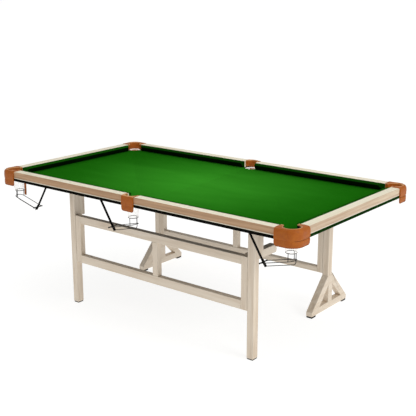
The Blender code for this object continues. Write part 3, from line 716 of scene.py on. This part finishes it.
def build_leather(name):
    sx, sy = POCKETS[name]
    stations = middle_stations() if sx == 0 else corner_stations()

    def place(u, v, z):
        if sx == 0:
            return Vector((u, MID_Y + sy * (HALF_W - v), z))
        return Vector((sx * (HALF_L - u), MID_Y + sy * (HALF_W - v), z))

    total = sum(math.hypot(q[0][0] - p[0][0], q[0][1] - p[0][1]) for p, q in zip(stations, stations[1:]))
    travelled = 0.0
    rings = []
    finishes = []
    outer_arc = []
    lines = {"seam": [], "hem": [], "rim": []}
    last = None
    for (u, v), (a, b), width in stations:
        if last is not None:
            travelled += math.hypot(u - last[0], v - last[1])
        last = (u, v)
        scallop = 0.0014 * abs(math.sin(travelled * math.pi / 0.0105)) + (0.003 if sx == 0 else 0.0)
        inset = END_ROUND - min(travelled, total - travelled, END_ROUND)
        round_off = END_ROUND - math.sqrt(END_ROUND ** 2 - inset ** 2)
        half_way = min(max((travelled / total - 0.42) / 0.16, 0.0), 1.0)
        pinch = 0.0004 + 0.0020 * half_way if sx else 0.0003
        profile = leather_profile(width, scallop + round_off, pinch)
        outer_arc.append(sx == 0 or abs(a * b) > 0.001)
        rings.append([place(u + a * n, v + b * n, z) for n, z, _ in profile])
        finishes = [f for _, _, f in profile]
        if half_way > 0.5:
            lines["seam"].append(place(u + a * 0.0006, v + b * 0.0006, RAIL_Z - SEAM_DROP))
        lines["hem"].append(place(u + a * 0.0001, v + b * 0.0001,
                                  SKIRT_Z + 0.0048 + round_off + (0.003 if sx == 0 else 0.0)))
        rim = width - min(0.0062, width * 0.36)
        lines["rim"].append(place(u + a * rim, v + b * rim, TOP_Z + 0.0021))
    verts, faces = loft(rings)
    count = len(finishes)
    mats = []
    for i in range(len(rings) - 1):
        for j in range(count):
            finish = min(finishes[j], finishes[(j + 1) % count])
            if sx == 0 and 14 <= j < 20:
                finish = 1
            # finish 2, the black inner wall, is painted shade inside the pocket; it stays only on the
            # straight runs of the front right pocket, and elsewhere that wall is leather
            mats.append(0 if finish == 2 and (outer_arc[i] or sy > 0 or sx < 0) else finish)
    mats += [0, 0]
    obj = piece(f"leather_{name}_hide", verts, faces, [LEATHER, RIM_LEATHER, SHADE_LINER], "top", f"leather_{name}",
                "tan_leather", mats, sharp=60.0)
    bevelled(obj, 0.0012, 3, 62.0)
    pale = stitch_row(lines["rim"], 0.0052, 0.0034)
    dark = stitch_row(lines["hem"], 0.0052, 0.0012, 0.0026)
    if sx:
        dark += stitch_row(lines["seam"], 0.0058, 0.0036)
    piece(f"stitches_pale_{name}", *beads(pale, 0.00065), [PALE_THREAD], "top", slot="tan_leather")
    piece(f"stitches_dark_{name}", *beads(dark, 0.00075), [DARK_THREAD], "top", slot="tan_leather")


for pocket in POCKETS:
    build_leather(pocket)


# ---------------------------------------------------------------- nets
def build_net(name):
    """Knotted cord net: a lattice of diamonds between two hems."""
    cx, cy = pocket_centre(name)
    top_r = 0.0380 if POCKETS[name][0] == 0 else 0.0395
    open_sleeve = name in RUNNERS
    shift = RUNNERS[name][1] if open_sleeve else 0.0
    around = 18
    rows = 6 if open_sleeve else 7
    cup = 0.0520
    levels = []
    for i in range(rows + 1):
        share = i / rows
        if open_sleeve:
            z = NET_TOP - share * (NET_TOP - RING_Z - 0.0026)
            waist = 1.0 - 0.06 * math.sin(math.pi * share)
            radius = (top_r + (RING_R - top_r) * share) * waist
        else:
            turn = math.pi / 2 * share
            z = NET_TOP - cup * (0.25 * share + 0.75 * math.sin(turn) * share ** 0.4)
            radius = max(top_r * math.cos(turn) * 0.97, 0.0035) if i else top_r
        levels.append((z, radius, cx + shift * share))
    verts = []
    for i, (z, radius, x) in enumerate(levels):
        for j in range(around):
            angle = 2 * math.pi * (j + 0.5 * (i % 2)) / around
            sag = 0.0006 * math.sin(7.0 * angle + i)
            verts.append((x + radius * math.cos(angle), cy + radius * math.sin(angle), z + sag * (i > 0)))
    cords = []
    for i in range(rows):
        for j in range(around):
            a = Vector(verts[i * around + j])
            other = j if i % 2 else (j - 1) % around
            knot = (j + 1) % around if i % 2 else j
            cords.append((a, Vector(verts[(i + 1) * around + knot])))
            cords.append((a, Vector(verts[(i + 1) * around + other])))
    knots = []
    for v in verts[around:-around]:
        p = Vector(v)
        knots.append((p - Vector((0, 0, 0.0011)), p + Vector((0, 0, 0.0011))))
    parts = [beads(cords, 0.00055, 5), beads(knots, 0.00115, 5)]
    for z, radius, x, height in ((*levels[0], 0.0045), (*levels[-1], 0.0022)):
        ring = []
        for j in range(28):
            angle = 2 * math.pi * j / 28
            flat = [(radius - 0.0006, z - height), (radius + 0.0006, z - height), (radius + 0.0008, z),
                    (radius - 0.0008, z)]
            ring.append([(x + r * math.cos(angle), cy + r * math.sin(angle), h) for r, h in flat])
        parts.append(loft(ring, cyclic=True))
    verts, faces = merged(parts)
    piece(f"net_{name}_cords", verts, faces, [NET], "top", f"net_{name}", "white_net", sharp=60.0)


for pocket in POCKETS:
    build_net(pocket)


# ---------------------------------------------------------------- ball runners and hangers
def side_wire_z(run):
    return RING_Z - U_WIRE_DROP - run * RUN_SLOPE


def build_runner(name):
    x0, y0 = pocket_centre(name)
    way, shift = RUNNERS[name]
    x0 += shift

    def at(run, across, z):
        return (x0 + way * run, y0 + across, z)

    ring = [at(x, y, RING_Z) for x, y in arc((0.0, 0.0), RING_R, 0, 355, 71)]
    end = BAR_RUN - BAR_CLEAR
    bend = arc((0.0, 0.0), RING_R, 90, 270, 24)
    u_wire = [at(run, across, side_wire_z(run)) for run, across in [(end, RING_R), *bend, (end, -RING_R)]]
    elbow_z = RING_Z - LOW_WIRE_DROP + RING_R * RUN_SLOPE * 0.4 + ELBOW_R * 0.95
    curve = arc((-RING_R + ELBOW_R, elbow_z), ELBOW_R, 180, 270 - math.degrees(math.atan(RUN_SLOPE)), 12)
    last_run, last_z = curve[-1]
    outer = [at(-RING_R, 0.0, RING_Z), *[at(run, 0.0, z) for run, z in curve]]
    outer.append(at(LOW_WIRE_END, 0.0, last_z - (LOW_WIRE_END - last_run) * RUN_SLOPE))
    uprights = [[at(0.0, side, RING_Z), at(0.0, side, side_wire_z(0.0))] for side in (-RING_R, RING_R)]
    data = bpy.data.curves.new(f"runner_{name}_wires", "CURVE")
    data.dimensions = "3D"
    data.bevel_depth = WIRE_R
    data.bevel_resolution = 4
    data.use_fill_caps = True
    for points, cyclic in [(ring, True), (u_wire, False), (outer, False)] + [(u, False) for u in uprights]:
        spline = data.splines.new("POLY")
        spline.points.add(len(points) - 1)
        for point, co in zip(spline.points, points):
            point.co = (*co, 1.0)
        spline.use_cyclic_u = cyclic
        spline.use_smooth = True
    data.materials.append(WIRE_BLACK)
    obj = bpy.data.objects.new(f"runner_{name}_wires", data)
    bpy.context.scene.collection.objects.link(obj)
    settle(obj, "top", f"runner_{name}")
    welds = []
    for spot in [at(-RING_R, 0.0, RING_Z - 0.0014), at(0.0, -RING_R, RING_Z - 0.0014),
                 at(0.0, RING_R, RING_Z - 0.0014), at(0.0, -RING_R, side_wire_z(0.0)),
                 at(0.0, RING_R, side_wire_z(0.0)), at(-RING_R, 0.0, side_wire_z(-RING_R))]:
        p = Vector(spot)
        welds.append((p - Vector((0.0, 0.0, WELD_HALF)), p + Vector((0.0, 0.0, WELD_HALF))))
    piece(f"runner_{name}_welds", *beads(welds, WELD_R, 10), [WIRE_BLACK], "top", slot="dark_wire")


def build_hanger(name):
    """Webbing strap screwed up under the bed, looped round a black cross bar at its foot."""
    x0, y0 = pocket_centre(name)
    way, shift = RUNNERS[name]
    x0 += shift
    foot = (STRAP_FOOT[0], RING_Z - STRAP_FOOT[1])
    head = (STRAP_HEAD_RUN, BED_Z - 0.0016)
    bar_z = side_wire_z(BAR_RUN)
    line = Vector((head[0] - foot[0], head[1] - foot[1])).normalized()
    normal = Vector((-line.y, line.x))
    path = [Vector(head) + Vector((0.028, 0.0)), Vector(head) + Vector((0.004, 0.0))]
    for share in (0.04, 0.10, 0.25, 0.5, 0.75, 0.93):
        path.append(Vector(head) + (Vector(foot) - Vector(head)) * share)
    tip = Vector(foot)
    path += [tip + line * 0.003 + normal * 0.0005, tip + normal * 0.0018,
             tip + line * 0.0035 + normal * 0.0034]
    path += [tip + line * 0.016 + normal * 0.0030, tip + line * 0.040 + normal * 0.0026]
    rings = []
    for i, p in enumerate(path):
        before = path[max(i - 1, 0)]
        after = path[min(i + 1, len(path) - 1)]
        along = (after - before).normalized()
        out = Vector((-along.y, along.x)) * STRAP_THICK
        ring = []
        for side, off in ((-STRAP_HALF, out), (STRAP_HALF, out), (STRAP_HALF, -out), (-STRAP_HALF, -out)):
            q = p + off
            ring.append((x0 + way * q.x, y0 + side, q.y))
        rings.append(ring)
    obj = piece(f"hanger_{name}_strap", *loft(rings), [STRAP], "top", f"hanger_{name}", "black_strap",
                sharp=60.0)
    bevelled(obj, 0.0003, 2, 60.0)
    rings = []
    x = x0 + way * BAR_RUN
    for y, r in ((-0.034, 0.0022), (-0.0335, 0.0034), (-0.032, 0.0040), (-0.029, 0.0040), (-0.0285, 0.0032),
                 (0.0285, 0.0032), (0.029, 0.0040), (0.032, 0.0040), (0.0335, 0.0034), (0.034, 0.0022)):
        rings.append([(x + r * math.cos(t), y0 + y, bar_z + r * math.sin(t))
                      for t in (2 * math.pi * i / 18 for i in range(18))])
    piece(f"hanger_{name}_bar", *loft(rings), [RUBBER], "top", slot="black_strap", sharp=50.0)


for pocket in RUNNERS:
    build_runner(pocket)
    build_hanger(pocket)


def build_tab():
    low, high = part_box("tab_front_left")
    rings = []
    for i in range(13):
        share = i / 12
        z = high[2] + (low[2] - high[2]) * share
        bow = 0.0011 * math.sin(math.pi * share)
        slim = 1.0 if share < 0.92 else 0.80
        mid = (low[0] + high[0]) / 2
        half = (high[0] - low[0]) / 2 * slim
        rings.append([(mid - half, low[1] + bow, z), (mid + half, low[1] + bow, z),
                      (mid + half, high[1] + bow, z), (mid - half, high[1] + bow, z)])
    obj = piece("tab_front_left_hide", *loft(rings), [LEATHER], "top", "tab_front_left", "tan_leather")
    bevelled(obj, 0.0006, 2, 50.0)


build_tab()

# ---------------------------------------------------------------- leg frames
for end in ("left", "right"):
    timber(f"front_leg_{end}_timber", f"front_leg_{end}", 2, "front_frame")
    timber(f"front_doubler_{end}_timber", f"front_doubler_{end}", 2, "front_frame")
    timber(f"rear_leg_{end}_timber", f"rear_leg_{end}", 2, "rear_stand")
    for side_name, body in (("front", "front_frame"), ("rear", "rear_stand")):
        timber(f"{side_name}_stile_{end}_timber", f"{side_name}_stile_{end}", 2, body)
for side_name, body in (("front", "front_frame"), ("rear", "rear_stand")):
    timber(f"{side_name}_stile_middle_timber", f"{side_name}_stile_middle", 2, body)
    for level in ("low", "top"):
        timber(f"{side_name}_rail_{level}_timber", f"{side_name}_rail_{level}", 0, body)


def build_foot(end):
    """A-shaped foot of four mitred timbers."""
    low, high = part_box(f"rear_foot_{end}")
    leg_low, leg_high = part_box(f"rear_leg_{end}")
    y0, y1 = low[1], high[1]
    base = low[2]
    seat = leg_low[2] - 0.0003
    back = high[2]
    toe = base + 0.0252
    bar_top = 0.050
    peak = 0.158
    post = (leg_low[1] + 0.013, leg_low[1] + 0.057)
    near = y0 + 0.0825
    far = y1 - 0.0655
    gap = 0.0002
    shapes = [
        [(y0, base), (y0 + 0.0465, base), (near - gap, bar_top), (post[0] - gap, peak), (post[0] - gap, seat),
         (leg_low[1], seat), (y0, toe)],
        [(y0 + 0.0465 + gap, base), (y1 - 0.0445 - gap, base), (far - gap, bar_top - gap),
         (near + gap, bar_top - gap)],
        [(y1 - 0.0445 + gap, base), (y1, base), (y1, toe), (leg_high[1] + 0.0003, back),
         (leg_high[1] + 0.0003, seat), (post[1] + gap, seat), (post[1] + gap, peak), (far, bar_top)],
        [(post[0], bar_top), (post[1], bar_top), (post[1], seat), (post[0], seat)],
    ]
    parts = [prism_x(shape, low[0], high[0]) for shape in shapes]
    verts, faces = merged(parts)
    obj = piece(f"rear_foot_{end}_timbers", verts, faces, [WOOD[1], WORN[1]], "rear_stand",
                f"rear_foot_{end}", "pale_wood", smooth=False)
    bevelled(obj, 0.0016, 3, 25.0, 1)


for end in ("left", "right"):
    build_foot(end)


def rubber_foot(name, node, body):
    """A moulded pad, a little wider at the floor, with a ribbed side."""
    low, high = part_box(node)
    tall = high[2] - low[2]
    rings = []
    for share, slim in ((0.0, 0.0012), (0.08, 0.0002), (0.30, 0.0), (0.38, 0.0008), (0.46, 0.0008),
                        (0.54, 0.0), (0.85, 0.0004), (1.0, 0.0014)):
        z = low[2] + tall * share
        rings.append([(low[0] + slim, low[1] + slim, z), (high[0] - slim, low[1] + slim, z),
                      (high[0] - slim, high[1] - slim, z), (low[0] + slim, high[1] - slim, z)])
    obj = piece(name, *loft(rings), [RUBBER], body, node, "black_strap", smooth=False)
    bevelled(obj, 0.0008, 2, 60.0)


for end in ("left", "right"):
    rubber_foot(f"front_glide_{end}_rubber", f"front_glide_{end}", "front_frame")
    for spot in ("near", "far"):
        rubber_foot(f"rear_pad_{end}_{spot}_rubber", f"rear_pad_{end}_{spot}", "rear_stand")


def build_stay():
    low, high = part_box("stay_right")
    half = (high[2] - low[2]) / 2
    centre = (low[1] + half, low[2] + half)
    outline = arc(centre, half, 90, 270, 24)
    outline += [(high[1] - 0.006, low[2]), (high[1], low[2] + 0.006), (high[1], high[2] - 0.006),
                (high[1] - 0.006, high[2])]
    obj = piece("stay_right_timber", *prism_x(outline, low[0], high[0]), [WOOD[1], WORN[1]], "stay",
                "stay_right", "pale_wood", smooth=False)
    bevelled(obj, 0.0018, 3, 50.0, 1)
    rings = []
    for x, r in ((high[0] - 0.001, 0.0095), (high[0] + 0.0006, 0.0095), (high[0] + 0.0016, 0.0080),
                 (high[0] + 0.0020, 0.0050)):
        rings.append([(x, centre[0] + r * math.cos(t), centre[1] + r * math.sin(t))
                      for t in (2 * math.pi * i / 20 for i in range(20))])
    piece("stay_right_pivot", *loft(rings), [STEEL], "stay", slot="steel", sharp=30.0)


build_stay()


def build_hinge(name):
    """Piano hinge: knuckled barrel, leaf and screw heads."""
    low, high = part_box(name)
    leaf_top = high[2]
    centre_y = low[1] + 0.005
    centre_z = low[2] + 0.005
    rings = []
    pitch = 0.030
    count = int((high[0] - low[0]) / pitch)
    step = (high[0] - low[0]) / count
    for i in range(count):
        x = low[0] + i * step
        for at, r in ((0.0, 0.0036), (0.0002, 0.0050), (step - 0.0008, 0.0050), (step - 0.0006, 0.0036)):
            rings.append([(x + at, centre_y + r * math.cos(t), centre_z + r * math.sin(t))
                          for t in (2 * math.pi * k / 14 for k in range(14))])
    barrel = loft(rings)
    leaf = box_mesh((low[0] + 0.001, centre_y, leaf_top - 0.0025), (high[0] - 0.001, high[1], leaf_top))
    piece(f"{name}_knuckles", *merged([barrel, leaf]), [STEEL], "top", name, "steel", sharp=40.0)
    heads = []
    screws = int((high[0] - low[0]) / 0.15)
    for i in range(screws):
        x = low[0] + (high[0] - low[0]) * (i + 0.5) / screws
        base = Vector((x, high[1] - 0.010, leaf_top - 0.0027))
        rings = [[tuple(base + Vector((r * math.cos(t), r * math.sin(t), -h)))
                  for t in (2 * math.pi * k / 12 for k in range(12))]
                 for h, r in ((-0.0005, 0.0040), (0.0004, 0.0038), (0.0010, 0.0028), (0.0012, 0.0012))]
        heads.append(loft(rings))
    piece(f"{name}_screws", *merged(heads), [STEEL], "top", slot="steel", sharp=50.0)


build_hinge("front_hinge")
build_hinge("rear_hinge")

# ---------------------------------------------------------------- floor, light and camera
def studio():
    """A plain pale floor, a flat disc wide enough to fill the view from any side."""
    bm = bmesh.new()
    bmesh.ops.create_circle(bm, cap_ends=True, segments=96, radius=FLOOR_RADIUS)
    mesh = bpy.data.meshes.new("studio_floor")
    bm.to_mesh(mesh)
    bm.free()
    floor = bpy.data.objects.new("studio_floor", mesh)
    bpy.context.scene.collection.objects.link(floor)
    sh = Shader("studio_paper")
    paper = sh.done(Base_Color=(0.34, 0.34, 0.338), Roughness=0.95, Emission_Color=(1.0, 1.0, 0.995),
                    Emission_Strength=0.82)
    mesh.materials.append(paper)


def area_light(name, place, target, size, power, colour):
    data = bpy.data.lights.new(name, "AREA")
    data.shape = "RECTANGLE"
    data.size, data.size_y = size
    data.energy = power
    data.color = colour
    lamp = bpy.data.objects.new(name, data)
    bpy.context.scene.collection.objects.link(lamp)
    lamp.location = place
    lamp.rotation_euler = (Vector(target) - Vector(place)).to_track_quat("-Z", "Y").to_euler()


studio()
area_light("key_right", (4.6, -0.4, 2.9), (0.0, 0.0, 0.6), (2.4, 2.0), 82.0, (1.0, 0.985, 0.96))
area_light("top_pool", (-0.1, -0.2, 2.9), (0.0, 0.0, 0.76), (1.1, 0.8), 9.0, (1.0, 1.0, 0.98))
area_light("top_soft", (0.0, 0.3, 4.0), (0.0, 0.3, 0.0), (4.0, 3.0), 22.0, (1.0, 0.995, 0.97))
area_light("front_fill", (-0.4, -3.4, 3.5), (0.0, -0.2, 0.4), (3.2, 1.6), 8.0, (1.0, 0.97, 0.93))

world = bpy.data.worlds.new("studio_world")
bpy.context.scene.world = world
world.use_nodes = True
sky = world.node_tree.nodes["Background"]
sky.inputs["Color"].default_value = (1.0, 0.995, 0.985, 1.0)
sky.inputs["Strength"].default_value = 0.50

camera_data = bpy.data.cameras.new("camera")
camera_data.sensor_width = 36.0
camera_data.lens = 72.2
camera = bpy.data.objects.new("camera", camera_data)
bpy.context.scene.collection.objects.link(camera)
camera.location = (2.987, -3.663 + MID_Y, 1.896)
camera.rotation_euler = Euler((math.radians(90.0 - 15.17), 0.0, math.radians(38.43)), "XYZ")
bpy.context.scene.camera = camera
bpy.context.scene.view_settings.view_transform = "Standard"
